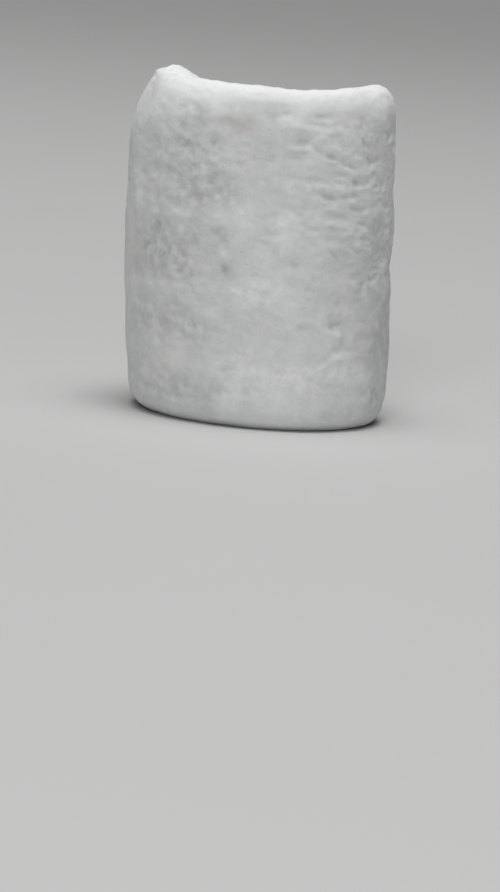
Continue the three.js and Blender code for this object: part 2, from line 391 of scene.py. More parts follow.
sideSkin = {
    "drawnOut": (1.45, 1.9),  # how much longer the peel lies round the front, and round the two sides
    "rough": 0.85,            # strength of peel and pimples, before the zones below
    "wrinkled": 0.05,         # strength of the wrinkles, before theirs
    "calm": 0.55,             # share lost just under the lip, and again under the left shoulder
    "underLip": (30.6, 32.4),
    "leftAt": (-62, 30),      # bearing and width
    "underShoulder": (26.0, 30.0),
    "overFoot": (-0.4, 1.6),  # heights between which all of this fades in
}
wrinkleNet = {
    "high": 0.09,
    "size": (0.9, 1.35, 0.36),
    "slants": (5.5, -7.0),    # two sets that cross, which makes V shapes
    "slantFrom": -10.0,       # bearing where they lie level
    "fold": 2.2,              # how sharp the valleys are
    "foldMean": 0.42,
    "folded": 0.36,           # share of sharp folds
    "wavy": 0.42,             # and of plain waves
    "wavyScale": 0.8,
}


def zone(bearing, width, gain, low=-6, high=40):
    # a stretch of the side, over its whole height unless low and high are given
    return {"bearing": bearing, "width": width, "gain": gain, "low": low, "high": high}


# where the wrinkles are stronger
wrinkleZones = [
    zone(58, 27, 1.0, 15, 33),  # strongest at the upper right
    zone(24, 12, 0.25, 21, 31),
    zone(152, 34, 0.7, 8, 30),
    zone(-132, 32, 0.6, 4, 22),
]
# rougher or smoother skin
roughZones = [
    zone(-46, 36, 0.5),
    zone(-40, 18, 0.6, 8, 13),
    zone(58, 30, -0.35),
    zone(6, 30, -0.7),
    zone(-86, 22, -0.5),
    zone(150, 50, 0.3),
    zone(-145, 36, 0.3),
]
zoneStarts = (-3.0, 3.0)      # a zone fades in between these heights over its low
zoneEnds = (-2.0, 1.0)        # and out between these over its high

# sharp short strokes pressed into the skin
fineCreases = [
    stroke(21, 31.6, 30, 31.7, 0.25, 0.09),
    stroke(14, 30.8, 35, 30.8, 0.22, 0.07),
    stroke(7, 31.7, 12, 31.8, 0.25, 0.08),
    stroke(14, 29.2, 22, 29.2, 0.3, 0.18),
    stroke(21, 28.9, 27, 28.0, 0.24, 0.14),
    stroke(27, 28.1, 34, 27.7, 0.24, 0.17),
    stroke(8, 27.5, 19, 27.3, 0.25, 0.06),
    stroke(47, 29.5, 54, 29.0, 0.22, 0.16),
    stroke(42, 28.3, 46, 28.1, 0.22, 0.12),
    stroke(51, 27.8, 55, 27.2, 0.22, 0.14),
    stroke(55, 27.2, 59, 27.8, 0.22, 0.12),
    stroke(32, 26.2, 39, 25.9, 0.22, 0.12),
    stroke(13, 25.5, 29, 25.2, 0.22, 0.05),
    stroke(42, 25.3, 50, 25.2, 0.24, 0.14),
    stroke(53, 25.6, 57, 26.3, 0.26, 0.06),
    stroke(26, 23.9, 34, 23.7, 0.26, 0.18),
    stroke(35, 23.9, 44, 23.9, 0.24, 0.15),
    stroke(44, 24.0, 50, 24.4, 0.22, 0.08),
    stroke(41, 22.7, 51, 22.4, 0.22, 0.12),
    stroke(28, 22.1, 40, 21.6, 0.38, 0.1),
    stroke(21, 20.6, 26, 20.4, 0.25, 0.07),
    stroke(28, 19.6, 45, 19.6, 0.25, 0.06),
    stroke(32.2, 10.3, 33.6, 11.2, 0.22, 0.16),
    stroke(33.4, 11.1, 37.0, 11.3, 0.22, 0.12),
]
# and more of them by rule, which run down towards an area's middle from both sides
strokeAreas = [
    {"bearing": 56, "spread": 17, "low": 15, "high": 31, "count": 90},
    {"bearing": 152, "spread": 27, "low": 7, "high": 31, "count": 130},
    {"bearing": -132, "spread": 24, "low": 4, "high": 26, "count": 100},
]
strokeShape = {
    "long": (0.6, 1.5),
    "half": (0.17, 0.26),
    "deep": (0.04, 0.12),
    "slope": 0.4,             # of a stroke well off the area's middle
    "wander": 0.35,
    "turnsAt": 10.0,          # degrees from the middle where the slope is full
    "seed": 5,
}
strokeBin = {"round": 6.0, "up": 2.0}     # strokes are looked up by place, in degrees and millimetres


def spreadStrokes(area, draw):
    made = []
    for n in range(area["count"]):
        bearing = draw.gauss(area["bearing"], area["spread"])
        height = draw.uniform(area["low"], area["high"])
        side = min(max((bearing - area["bearing"]) / strokeShape["turnsAt"], -1.0), 1.0)
        slope = strokeShape["slope"] * side + draw.uniform(-strokeShape["wander"], strokeShape["wander"])
        reach = 0.5 * draw.uniform(*strokeShape["long"])
        across = math.degrees(reach * math.cos(slope) / wall["radius"])
        up = reach * math.sin(slope)
        half = draw.uniform(*strokeShape["half"])
        deep = draw.uniform(*strokeShape["deep"])
        made.append(stroke(bearing - across, height - up, bearing + across, height + up, half, deep))
    return made


def sortStrokes(strokes):
    # each stroke goes into every bin that it may reach
    bins = {}
    turns = round(360.0 / strokeBin["round"])
    for crease in strokes:
        margin = creaseReach * crease["half"]
        turn = math.degrees(margin / wall["radius"])
        low, high = sorted((crease["start"][1], crease["end"][1]))
        left, right = sorted((crease["start"][0], crease["end"][0]))
        past = creaseShape["past"] * (right - left)
        for n in range(math.floor((left - turn - past) / strokeBin["round"]),
                       math.floor((right + turn + past) / strokeBin["round"]) + 1):
            for m in range(math.floor((low - margin) / strokeBin["up"]),
                           math.floor((high + margin) / strokeBin["up"]) + 1):
                bins.setdefault((n % turns, m), []).append(crease)
    return bins


def makeStrokes():
    draw = random.Random(strokeShape["seed"])
    strokes = list(fineCreases)
    for area in strokeAreas:
        strokes += spreadStrokes(area, draw)
    return sortStrokes(strokes)


strokeBins = makeStrokes()


def strokesNear(bearing, z):
    return strokeBins.get((int(bearing % 360.0 // strokeBin["round"]), math.floor(z / strokeBin["up"])), ())


# small sharp dents and bumps
fineMarks = [
    spot(36, 9.9, 0.4, 0.4, -0.16),
    spot(36, 8.4, 0.45, 0.45, 0.08),
    spot(32, 8.7, 0.4, 0.45, -0.12),
    spot(35.4, 9.2, 0.4, 0.3, -0.09),
    spot(36, 7.6, 0.4, 0.3, -0.12),
    spot(34.5, 6.8, 0.7, 0.26, 0.09),
    spot(40, 12.0, 0.45, 0.55, -0.12),
    spot(20.5, 11.3, 0.9, 0.26, -0.07),
    spot(20, 10.6, 0.8, 0.26, 0.06),
    spot(26.5, 10.8, 0.4, 0.4, -0.07),
    spot(29, 10.8, 0.26, 0.45, 0.07),
    spot(35, 12.0, 0.35, 0.4, -0.08),
    spot(35, 13.1, 0.36, 0.35, 0.12),
    spot(15, 30.5, 0.45, 0.35, -0.1),
    spot(26, 29.5, 0.35, 0.3, -0.09),
    spot(14, 28.3, 1.1, 0.25, -0.06),
    spot(26, 24.7, 0.9, 0.25, -0.05),
    spot(37, 24.4, 0.5, 0.3, -0.09),
    spot(22, 26.0, 1.0, 0.25, -0.05),
    spot(48, 26.1, 0.4, 0.25, -0.08),
    spot(43, 23.3, 0.5, 0.3, -0.1),
    spot(52, 30.0, 0.5, 0.25, -0.09),
    spot(55, 26.5, 0.35, 0.3, -0.1),
    spot(42, 20.1, 0.4, 0.35, -0.1),
    spot(49, 20.2, 0.35, 0.4, -0.1),
    spot(45, 18.8, 0.35, 0.4, -0.1),
    spot(56, 21.9, 0.3, 0.35, -0.1),
]

# uneven places on the left end of the lip: bearing and share of the way up the side, half widths, height
lipMarks = [
    {"at": (-82, 0.925), "half": (16, 0.014), "high": 0.20},
    {"at": (-82, 0.966), "half": (14, 0.022), "high": -0.17},
    {"at": (-80, 1.0), "half": (5, 0.012), "high": 0.10},
]
lipShape = {
    "tornAt": (-66, 14),          # bearing and width of the crumbliest place
    "tornGain": 2.6,
    "nearCrest": (0.945, 0.985),  # shares of the way up the side between which that grows
}
endShape = {
    "draws": 46,                  # fine draw lines that run in from the lip
    "drawHigh": 0.05,
    "drawStarts": (0.35, 0.6),    # shares of the way out from the middle
    "drawEnds": (0.85, 1.0),
    "nearLip": (0.82, 0.97),
    "footEdge": (0.9, 1.0),
}

# where starch is rubbed off (deep over 0, darker) or has gathered (deep under 0, lighter), together with
# painted shade (deep over 0) and painted light (deep under 0) that set how bright broad parts of the side
# look
smudgesAndPaintedShading = [
    spot(-9, 30.6, 1.1, 0.7, 0.9),
    spot(-17, 30.4, 1.3, 0.6, 0.35),
    spot(-29, 31.0, 0.8, 0.9, 0.7),
    spot(-38, 29.7, 0.7, 0.5, 0.5),
    spot(-36, 28.2, 0.9, 0.5, 0.5),
    spot(-21, 28.5, 0.5, 0.8, 0.25),
    spot(-40, 26.6, 4.6, 2.9, 0.65),
    spot(-26, 28.0, 2.3, 0.8, 1.0),
    spot(-17, 25.4, 0.9, 0.4, 0.2),
    spot(-24, 24.4, 2.6, 1.9, 0.8),
    spot(-12, 23.3, 1.2, 1.2, 0.7),
    spot(-50, 22.6, 0.8, 0.6, 0.6),
    spot(-48, 19.7, 0.7, 0.6, 0.6),
    spot(-42, 18.0, 4.8, 2.6, 0.85),
    spot(-36, 15.1, 3.4, 1.0, 0.8),
    spot(-16, 19.1, 0.9, 1.1, 0.8),
    spot(-14, 15.9, 0.55, 0.5, 1.0),
    spot(-35, 10.0, 4.6, 1.6, 0.68),
    spot(-26, 9.4, 1.6, 1.0, 0.6),
    spot(-36, 3.3, 5.0, 1.7, 0.95),
    spot(-16, 4.6, 1.5, 0.9, 0.75),
    spot(-58, 12.0, 2.6, 8.0, 0.4),
    # painted shade on the right side, low down and in the middle
    spot(59, 9.0, 3.4, 3.2, 0.75),
    spot(59, 16.0, 2.8, 2.8, 0.85),
    spot(61, 3.6, 2.4, 1.8, 0.85),
    spot(-52, 13.6, 3.6, 0.45, -0.5),
    spot(-9, 13.7, 3.0, 0.7, -0.75),
    spot(-15, 17.3, 0.6, 0.5, -0.7),
    spot(-15, 20.9, 1.5, 0.7, -0.55),
    spot(-24, 25.4, 0.7, 0.35, -0.8),
    spot(-21, 29.9, 1.3, 0.9, -1.0),
    spot(-34, 31.9, 4.4, 0.8, -0.6),
    spot(1, 31.1, 4.2, 0.8, -0.55),
    spot(5, 32.6, 2.8, 0.4, 0.45),
    spot(-50, 21.0, 0.5, 0.4, -0.6),
    spot(-61, 21.6, 0.8, 1.2, -0.4),
    spot(17, 21.8, 2.0, 1.2, -0.75),
    spot(29, 24.4, 3.8, 0.7, -0.8),
    spot(41, 24.6, 1.4, 0.5, -0.6),
    spot(45, 30.4, 3.6, 1.6, -0.85),
    spot(4, 5.0, 5.6, 1.9, -0.8),
    spot(41, 6.0, 4.0, 1.5, -0.95),
    spot(-26, 26.4, 0.9, 0.9, 0.6),
    spot(-30, 22.6, 2.2, 1.3, 0.65),
    spot(-26, 19.3, 1.2, 1.0, 0.6),
    spot(-37, 16.6, 1.4, 1.0, 0.45),
    spot(-51, 16.9, 1.6, 1.3, 0.6),
    spot(-29, 13.2, 1.4, 0.6, 0.5),
    spot(41, 14.0, 1.7, 1.1, 0.6),
    spot(40, 20.8, 1.2, 0.9, 0.55),
    spot(55, 21.0, 2.0, 2.4, 0.5),
    spot(33, 28.6, 2.0, 0.8, -0.6),
    spot(-15, 31.6, 1.7, 0.5, -0.6),
    spot(24, 15.8, 1.3, 0.8, -0.6),
    spot(-4, 12.6, 1.8, 1.0, -0.4),
    spot(8, 18.2, 2.2, 1.4, -0.4),
    spot(41, 11.8, 0.9, 0.6, -0.5),
    spot(-51, 31.4, 1.6, 0.9, -0.5),
    spot(-33, 12.1, 2.0, 0.6, 0.4),
    spot(28, 20.5, 1.5, 0.7, 0.35),
    spot(31, 9.8, 1.1, 0.9, 0.4),
    spot(48, 18.0, 1.4, 1.2, 0.4),
    spot(-5, 8.3, 2.2, 1.4, -0.4),
    spot(0, 14.7, 2.6, 0.9, -0.4),
    spot(12, 11.2, 2.6, 1.1, -0.4),
    spot(9, 25.0, 2.0, 1.0, -0.35),
    # painted light on the upper left shoulder
    spot(-82, 31.0, 3.4, 2.4, -0.9),
    # painted shade along the right edge
    spot(78, 10.0, 3.0, 9.0, 0.6),
]
# broad faint warm marks
stains = [
    spot(-11, 30.6, 1.9, 0.8, 0.6),
    spot(152, 12.5, 3.4, 1.6, 0.4),
    spot(-138, 24.0, 3.0, 1.3, 0.45),
]
farSmudges = {"count": 22, "start": 88, "sweep": 190, "low": 3, "high": 31, "half": (3.6, 1.7), "deep": 0.6}
settledAndPaintedLightBy = (0.0, 0.9)        # starch settles, with painted light, where the skin faces up by more than the first


def softNoise(point, size, shift):
    return noise.noise(Vector((point.x / size + shift, point.y / size - shift, point.z / size + 0.5 * shift)))


def ripple(point, name):
    high, size, shift = layers[name]
    return high * softNoise(point, size, shift)


def openHoles(point, name):
    # only the peaks of the noise over the bar make a hole, so they lie scattered
    deep, size, shift, bar = holes[name]
    return deep * smooth(bar, bar + holeSlope, softNoise(point, size, shift))


def gainBy(zones, bearing, z, base):
    gain = base
    for entry in zones:
        inside = smooth(*zoneStarts, z - entry["low"]) * (1.0 - smooth(*zoneEnds, z - entry["high"]))
        gain += entry["gain"] * lobe(bearing, entry["bearing"], entry["width"]) * inside
    return gain


def wrinkles(point, bearing):
    # folded noise, drawn out along each slant, gives long pads with sharp valleys between
    across, along, up = wrinkleNet["size"]
    sideways = math.sin(math.radians(bearing - wrinkleNet["slantFrom"]))
    total = 0.0
    for slant in wrinkleNet["slants"]:
        place = Vector((point.x / across + slant, point.y / along, (point.z + slant * sideways) / up))
        place.z += ripple(place, "wrinkleTurn")
        fold = min(abs(noise.noise(place)) * wrinkleNet["fold"], 1.0) - wrinkleNet["foldMean"]
        wave = noise.noise(place * wrinkleNet["wavyScale"])
        total += wrinkleNet["folded"] * fold + wrinkleNet["wavy"] * wave
    return total


def fineSkin(point, bearing):
    z = point.z
    wrinkled = gainBy(wrinkleZones, bearing, z, sideSkin["wrinkled"])
    rough = gainBy(roughZones, bearing, z, sideSkin["rough"] + ripple(point, "roughVaries"))
    drawn = Vector((point.x / sideSkin["drawnOut"][0], point.y / sideSkin["drawnOut"][1], z))
    height = wrinkleNet["high"] * wrinkled * wrinkles(point, bearing)
    height += rough * (ripple(drawn, "peel") + ripple(drawn, "pimples"))
    height += ripple(point, "grain") - openHoles(point, "pits")
    height *= 1.0 - sideSkin["calm"] * smooth(*sideSkin["underLip"], z)
    onLeft = lobe(bearing, *sideSkin["leftAt"])
    height *= 1.0 - sideSkin["calm"] * onLeft * smooth(*sideSkin["underShoulder"], z)
    return height - creaseDepth(bearing, z, strokesNear(bearing, z)) - markDepth(bearing, z, fineMarks)


def lipRise(bearing, share):
    total = 0.0
    for mark in lipMarks:
        up = (share - mark["at"][1]) / mark["half"][1]
        total += mark["high"] * lobe(bearing, mark["at"][0], mark["half"][0]) * math.exp(-up ** 2)
    return total


def fineLip(point, bearing, nearCrest):
    torn = 1.0 + lipShape["tornGain"] * nearCrest * lobe(bearing, *lipShape["tornAt"])
    return torn * ripple(point, "crumbs") + ripple(point, "lipPeel")


def fineDish(point, bearing, share):
    plain = ripple(point, "dishPeel") + ripple(point, "dishGrain")
    plain -= openHoles(point, "dishBubbles")
    band = smooth(*endShape["drawStarts"], share) * (1.0 - smooth(*endShape["drawEnds"], share))
    turn = endShape["draws"] * math.radians(bearing) + ripple(point, "drawWander")
    uneven = max(1.0 + ripple(point, "drawUneven"), 0.0)
    draws = endShape["drawHigh"] * band * uneven * math.cos(turn)
    nearLip = smooth(*endShape["nearLip"], share)
    return plain * (1.0 - nearLip) + draws + fineLip(point, bearing, nearLip) * nearLip


def fineFoot(point, share):
    # hollows only, so that the flat foot still stands on its plane
    hollow = openHoles(point, "footBubbles") + max(ripple(point, "footPeel"), 0.0)
    return -hollow * (1.0 - smooth(*endShape["footEdge"], share))


def pieceFrom(bm, name):
    mesh = bpy.data.meshes.new(name)
    bm.to_mesh(mesh)
    bm.free()
    piece = bpy.data.objects.new(name, mesh)
    bpy.context.scene.collection.objects.link(piece)
    return piece


hair = 1e-4                   # far smaller than a step of the grid


def skinGridMesh():
    # a box whose faces are cut up evenly
    bm = bmesh.new()
    bmesh.ops.create_cube(bm, size=2.0)
    upright = [e for e in bm.edges if abs(e.verts[0].co.z - e.verts[1].co.z) > 1.0]
    bmesh.ops.subdivide_edges(bm, edges=upright, cuts=skinGrid["up"] - 1, use_grid_fill=True)
    level = [e for e in bm.edges if abs(e.verts[0].co.z - e.verts[1].co.z) < hair]
    bmesh.ops.subdivide_edges(bm, edges=level, cuts=skinGrid["quarter"] - 1, use_grid_fill=True)
    return bm


def shapeSkin(bm):
    # the box's square rings become round ones, and its faces the foot, the side and the dish
    sections = {}
    sites = []
    for vert in bm.verts:
        x, y, z = vert.co
        ring = max(abs(x), abs(y))
        bearing = round(squareBearing(x / ring, y / ring), 4) if ring > 0 else 0.0
        if bearing not in sections:
            sections[bearing] = meridianAt(bearing)
        section = sections[bearing]
        if z > 1.0 - hair:
            sites.append(("top", bearing, ring))
            vert.co = topPoint(bearing, ring, section)
        elif z < -1.0 + hair:
            sites.append(("foot", bearing, ring))
            vert.co = around(bearing, section["foot"] * ring, 0.0)
        else:
            sites.append(("side", bearing, (z + 1.0) / 2.0))
            vert.co = sidePoint(bearing, (z + 1.0) / 2.0, section)
    return sites


allSmudgesAndPaintedShading = smudgesAndPaintedShading + spreadMarks(farSmudges)


def pressRelief(bm, sites):
    # moves the skin along its normals, and keeps four things about each place for its material
    # and for the starch
    bm.normal_update()
    names = ("hollow", "smudgedAndPaintedShading", "stained", "settledAndPaintedLight")
    hollow, smudgedAndPaintedShading, stained, settledAndPaintedLight = [bm.verts.layers.float.new(name) for name in names]
    places = []
    for vert, (kind, bearing, share) in zip(bm.verts, sites):
        point = vert.co
        clearOfFoot = smooth(0.0, foot["rise"], point.z)
        clearOfTop = 1.0 - smooth(rim["height"] - rim["drop"], rim["height"], point.z)
        swollen = swell(point) * clearOfFoot
        if kind == "side":
            pressed = markDepth(bearing, point.z, skinMarks) + creaseDepth(bearing, point.z, creases)
            fine = fineSkin(point, bearing) * smooth(*sideSkin["overFoot"], point.z) * clearOfTop
            fine -= pressed * clearOfTop * clearOfFoot
            nearCrest = smooth(*lipShape["nearCrest"], share)
            fine += fineLip(point, bearing, nearCrest) * (1.0 - clearOfTop)
            fine += lipRise(bearing, share)
            # partly rubbed and gathered starch, partly painted shade and painted light
            vert[smudgedAndPaintedShading] = markDepth(bearing, point.z, allSmudgesAndPaintedShading)
            vert[stained] = markDepth(bearing, point.z, stains)
        elif kind == "top":
            fine = fineDish(point, bearing, share)
        else:
            fine = fineFoot(point, share)
        vert[hollow] = -fine
        # up-facing skin gets the lighter starch colour, partly painted light
        vert[settledAndPaintedLight] = smooth(*settledAndPaintedLightBy, vert.normal.z)
        places.append(point + vert.normal * (swollen + fine))
    for vert, place in zip(bm.verts, places):
        vert.co = Vector((place.x, place.y, max(place.z, 0.0)))


def makeSkin():
    bm = skinGridMesh()
    sites = shapeSkin(bm)
    pressRelief(bm, sites)
    bmesh.ops.scale(bm, vec=(mm, mm, mm), verts=bm.verts)
    bmesh.ops.recalc_face_normals(bm, faces=bm.faces)
    for face in bm.faces:
        face.smooth = True
    return pieceFrom(bm, "marshmallowSkin")


skin = makeSkin()
print("skin shaped:", len(skin.data.polygons), "faces")


# loose starch: little clumps on the skin, most of them on the lip, the dish and in the creases
starch = {
    # each doubling makes twice as many clumps
    "doublings": 12,
    "small": 0.025,
    "large": 0.14,
    "mostlySmall": 2.4,       # over 1, there are more small ones than large ones
    "uneven": (0.7, 1.2),     # range of a clump's three widths
    "sunk": 0.15,             # how far a clump's middle is sunk in, a share of its size
    "flat": 0.5,              # its height as a share of its width
    "seed": 11,
}
# how thickly the clumps lie
starchLies = {
    "under": 0.25,            # on what faces down
    "facesDown": -0.5,
    "wall": 0.35,
    "level": 1.6,             # more of them on what faces up
    "inHollow": 1.5,          # and in hollows between these depths
    "hollow": (0.05, 0.25),
    "rubbedOff": 0.9,         # share lost under a full smudge, and under full painted shading
    "smudgeAndPaintedShading": (0.1, 0.5),
}


def starchWeight(polygon, hollow, smudgedAndPaintedShading):
    up = polygon.normal.z
    if up < starchLies["facesDown"]:
        return starchLies["under"]
    depth = max(hollow[v].value for v in polygon.vertices)
    lostToSmudgeAndShading = smooth(*starchLies["smudgeAndPaintedShading"], smudgedAndPaintedShading[polygon.vertices[0]].value)
    thick = starchLies["wall"] + starchLies["level"] * max(up, 0.0)
    thick += starchLies["inHollow"] * smooth(*starchLies["hollow"], depth)
    return thick * (1.0 - starchLies["rubbedOff"] * lostToSmudgeAndShading)


def makeStarch(setup):
    draw = random.Random(setup["seed"])
    mesh = skin.data
    hollow = mesh.attributes["hollow"].data
    smudgedAndPaintedShading = mesh.attributes["smudgedAndPaintedShading"].data
    weights = [starchWeight(p, hollow, smudgedAndPaintedShading) * p.area for p in mesh.polygons]
    bm = bmesh.new()
    bmesh.ops.create_icosphere(bm, subdivisions=1, radius=1.0)
    perClump = len(bm.verts)
    for n in range(setup["doublings"]):
        bmesh.ops.duplicate(bm, geom=bm.verts[:] + bm.edges[:] + bm.faces[:])
    verts = list(bm.verts)
    homes = draw.choices(mesh.polygons, weights=weights, k=len(verts) // perClump)
    for n, home in enumerate(homes):
        corners = [mesh.vertices[v].co for v in home.vertices]
        across, along = draw.random(), draw.random()
        low = corners[0].lerp(corners[1], across)
        high = corners[3].lerp(corners[2], across)
        share = draw.random() ** setup["mostlySmall"]
        size = setup["small"] * (setup["large"] / setup["small"]) ** share * mm
        place = low.lerp(high, along) - home.normal * size * setup["sunk"]
        place.z = max(place.z, size)
        squash = Vector([draw.uniform(*setup["uneven"]) for axis in range(3)])
        for vert in verts[n * perClump:(n + 1) * perClump]:
            grain = vert.co * squash
            grain -= home.normal * grain.dot(home.normal) * (1.0 - setup["flat"])
            vert.co = place + grain * size
    return pieceFrom(bm, "starchClumps")


clumps = makeStarch(starch)
print("starch laid:", len(clumps.data.polygons), "faces")


def newMaterial(name):
    material = bpy.data.materials.new(name)
    material.use_nodes = True
    tree = material.node_tree
    return material, tree, tree.nodes["Principled BSDF"]


def newGroup(name, inputs, outputs):
    # every input is set where the group is used
    group = bpy.data.node_groups.new(name, "ShaderNodeTree")
    group.interface.new_socket(name="Vector", in_out="INPUT", socket_type="NodeSocketVector")
    for label in inputs:
        group.interface.new_socket(name=label, in_out="INPUT", socket_type="NodeSocketFloat")
    for label in outputs:
        group.interface.new_socket(name=label, in_out="OUTPUT", socket_type="NodeSocketFloat")
    return group, group.nodes.new("NodeGroupInput"), group.nodes.new("NodeGroupOutput")


noiseDetail = {"plain": 2.0, "fine": 3.0, "finest": 4.0}


def addNoise(tree, vector, scale, detail="plain"):
    node = tree.nodes.new("ShaderNodeTexNoise")
    node.inputs["Detail"].default_value = noiseDetail[detail]
    tree.links.new(vector, node.inputs["Vector"])
    if isinstance(scale, float):
        node.inputs["Scale"].default_value = scale
    else:
        tree.links.new(scale, node.inputs["Scale"])
    return node.outputs["Fac"]


def addMath(tree, operation, first, second):
    node = tree.nodes.new("ShaderNodeMath")
    node.operation = operation
    for socket, value in zip(node.inputs, (first, second)):
        if isinstance(value, (int, float)):
            socket.default_value = value
        else:
            tree.links.new(value, socket)
    return node.outputs["Value"]


def addRange(tree, value, low, high, newLow=0.0, newHigh=1.0):
    node = tree.nodes.new("ShaderNodeMapRange")
    node.interpolation_type = "SMOOTHSTEP"
    for label, setting in (("From Min", low), ("From Max", high), ("To Min", newLow), ("To Max", newHigh)):
        node.inputs[label].default_value = setting
    tree.links.new(value, node.inputs["Value"])
    return node.outputs["Result"]


def addMix(tree, share, first, second):
    node = tree.nodes.new("ShaderNodeMix")
    node.data_type = "RGBA"
    sockets = [s for s in node.inputs if s.type == "RGBA"]
    tree.links.new(share, node.inputs["Factor"])
    for socket, value in zip(sockets, (first, second)):
        if isinstance(value, tuple):
            socket.default_value = (*value, 1.0)
        else:
            tree.links.new(value, socket)
    return [s for s in node.outputs if s.type == "RGBA"][0]


def addShade(tree, color, shade):
    # multiplies a colour by a grey value
    node = tree.nodes.new("ShaderNodeVectorMath")
    node.operation = "SCALE"
    tree.links.new(color, node.inputs["Vector"])
    tree.links.new(shade, node.inputs["Scale"])
    return node.outputs["Vector"]


def addGroup(tree, group, vector, **values):
    node = tree.nodes.new("ShaderNodeGroup")
    node.node_tree = group
    tree.links.new(vector, node.inputs["Vector"])
    for label, value in values.items():
        node.inputs[label].default_value = value
    return node


def addMillimetres(tree):
    # object coordinates counted in millimetres
    place = tree.nodes.new("ShaderNodeTexCoord")
    mapping = tree.nodes.new("ShaderNodeMapping")
    mapping.inputs["Scale"].default_value = (1.0 / mm, 1.0 / mm, 1.0 / mm)
    tree.links.new(place.outputs["Object"], mapping.inputs["Vector"])
    return mapping.outputs["Vector"]


def addAttribute(tree, name):
    node = tree.nodes.new("ShaderNodeAttribute")
    node.attribute_name = name
    return node.outputs["Fac"]


def addBump(tree, height):
    node = tree.nodes.new("ShaderNodeBump")
    node.inputs["Strength"].default_value = 1.0
    node.inputs["Distance"].default_value = 1.0       # so the height is in metres
    tree.links.new(height, node.inputs["Height"])
    return node.outputs["Normal"]


def makeMottleGroup():
    # soft cloudy light and dark, centred on 1
    group, given, result = newGroup("softMottle", ["Density", "Contrast"], ["Shade"])
    cloud = addNoise(group, given.outputs["Vector"], given.outputs["Density"], "fine")
    centred = addMath(group, "SUBTRACT", cloud, 0.5)
    scaled = addMath(group, "MULTIPLY", centred, given.outputs["Contrast"])
    group.links.new(addMath(group, "ADD", scaled, 1.0), result.inputs["Shade"])
    return group


dustMix = {"patches": 0.62, "specks": 0.38, "bar": (0.42, 0.60)}
poreEdge = 0.12               # softness of a pore's edge, as a share of a cell


def makeDustGroup():
    # starch lies in patches that break up into fine specks
    group, given, result = newGroup("starchDust", ["Patches", "Specks"], ["Mask", "Height"])
    patches = addNoise(group, given.outputs["Vector"], given.outputs["Patches"], "finest")
    specks = addNoise(group, given.outputs["Vector"], given.outputs["Specks"], "fine")
    broad = addMath(group, "MULTIPLY", patches, dustMix["patches"])
    small = addMath(group, "MULTIPLY", specks, dustMix["specks"])
    mask = addRange(group, addMath(group, "ADD", broad, small), *dustMix["bar"])
    group.links.new(mask, result.inputs["Mask"])
    group.links.new(addMath(group, "MULTIPLY", mask, specks), result.inputs["Height"])
    return group


def makePoreGroup():
    # round pores, one in some of the cells
    group, given, result = newGroup("foamPores", ["Density", "Radius", "Share"], ["Mask"])
    cells = group.nodes.new("ShaderNodeTexVoronoi")
    group.links.new(given.outputs["Vector"], cells.inputs["Vector"])
    group.links.new(given.outputs["Density"], cells.inputs["Scale"])
    depth = addMath(group, "SUBTRACT", given.outputs["Radius"], cells.outputs["Distance"])
    inside = addRange(group, depth, 0.0, poreEdge)
    chance = group.nodes.new("ShaderNodeSeparateColor")
    group.links.new(cells.outputs["Color"], chance.inputs["Color"])
    chosen = addMath(group, "LESS_THAN", chance.outputs["Red"], given.outputs["Share"])
    group.links.new(addMath(group, "MULTIPLY", inside, chosen), result.inputs["Mask"])
    return group


mottleGroup = makeMottleGroup()
dustGroup = makeDustGroup()
poreGroup = makePoreGroup()

foamFinish = {
    "bare": (0.781, 0.791, 0.793),    # smooth skin between the starch
    "dusted": (0.832, 0.839, 0.842),
    "settledAndPaintedLight": (0.876, 0.882, 0.884),  # thick starch on what faces up, partly painted light on up-facing skin
    "dust": {"Patches": 0.32, "Specks": 3.2},
    "warm": (0.800, 0.788, 0.768),    # a faint warm tone in broad patches
    "warmDensity": 0.16,              # densities are per millimetre
    "warmBar": (0.50, 0.75),
    "warmMost": 0.35,
    "stain": (0.680, 0.655, 0.615),   # a mark with no starch on it
    "mottles": ((0.2, 0.22), (0.65, 0.16)),  # density and contrast
    "hollowShade": 0.077,             # painted shade: how much darker the bottom of a hollow is
    "hollowDeep": 0.35,               # from this depth on, in millimetres
    "smudgeAndPaintedShadingDark": 0.165,             # how much darker a whole smudge or painted shade is; a lighter mark or painted light is lifted by as much
    "smudgeAndPaintedShadingGrain": 0.5,               # how far fine noise breaks up a smudge and the painted shading
    "smudgeAndPaintedShadingDensity": 1.1,
    "smudgeAndPaintedShadingBar": (0.35, 0.65),
    "pores": {"Density": 1.6, "Radius": 0.2, "Share": 0.3},
    # painted shade in the pores
    "poreShade": 0.05,
    "roughness": (0.82, 0.96),        # bare, dusted
    "grainDensity": 2.6,
    "grainBump": 0.007 * mm,
    "dustBump": 0.008 * mm,
    "poreBump": 0.03 * mm,
    "sockets": {
        "Specular IOR Level": 0.22,
        "Sheen Weight": 0.03,
        "Sheen Roughness": 0.5,
        "Subsurface Weight": 0.55,
        "Subsurface Radius": (0.95, 0.9, 0.85),
        "Subsurface Scale": 0.45 * mm,
    },
}


def setSockets(shader, values):
    for label, value in values.items():
        shader.inputs[label].default_value = value


def foamTone(tree, vector, finish, dust):
    # bare and dusted skin with warm patches and clouds, and thick starch with painted light on what faces up
    color = addMix(tree, dust.outputs["Mask"], finish["bare"], finish["dusted"])
    patches = addNoise(tree, vector, finish["warmDensity"])
    warm = addRange(tree, patches, *finish["warmBar"], 0.0, finish["warmMost"])
    color = addMix(tree, warm, color, finish["warm"])
    for density, contrast in finish["mottles"]:
        mottle = addGroup(tree, mottleGroup, vector, Density=density, Contrast=contrast)
        color = addShade(tree, color, mottle.outputs["Shade"])
    return addMix(tree, addAttribute(tree, "settledAndPaintedLight"), color, finish["settledAndPaintedLight"])


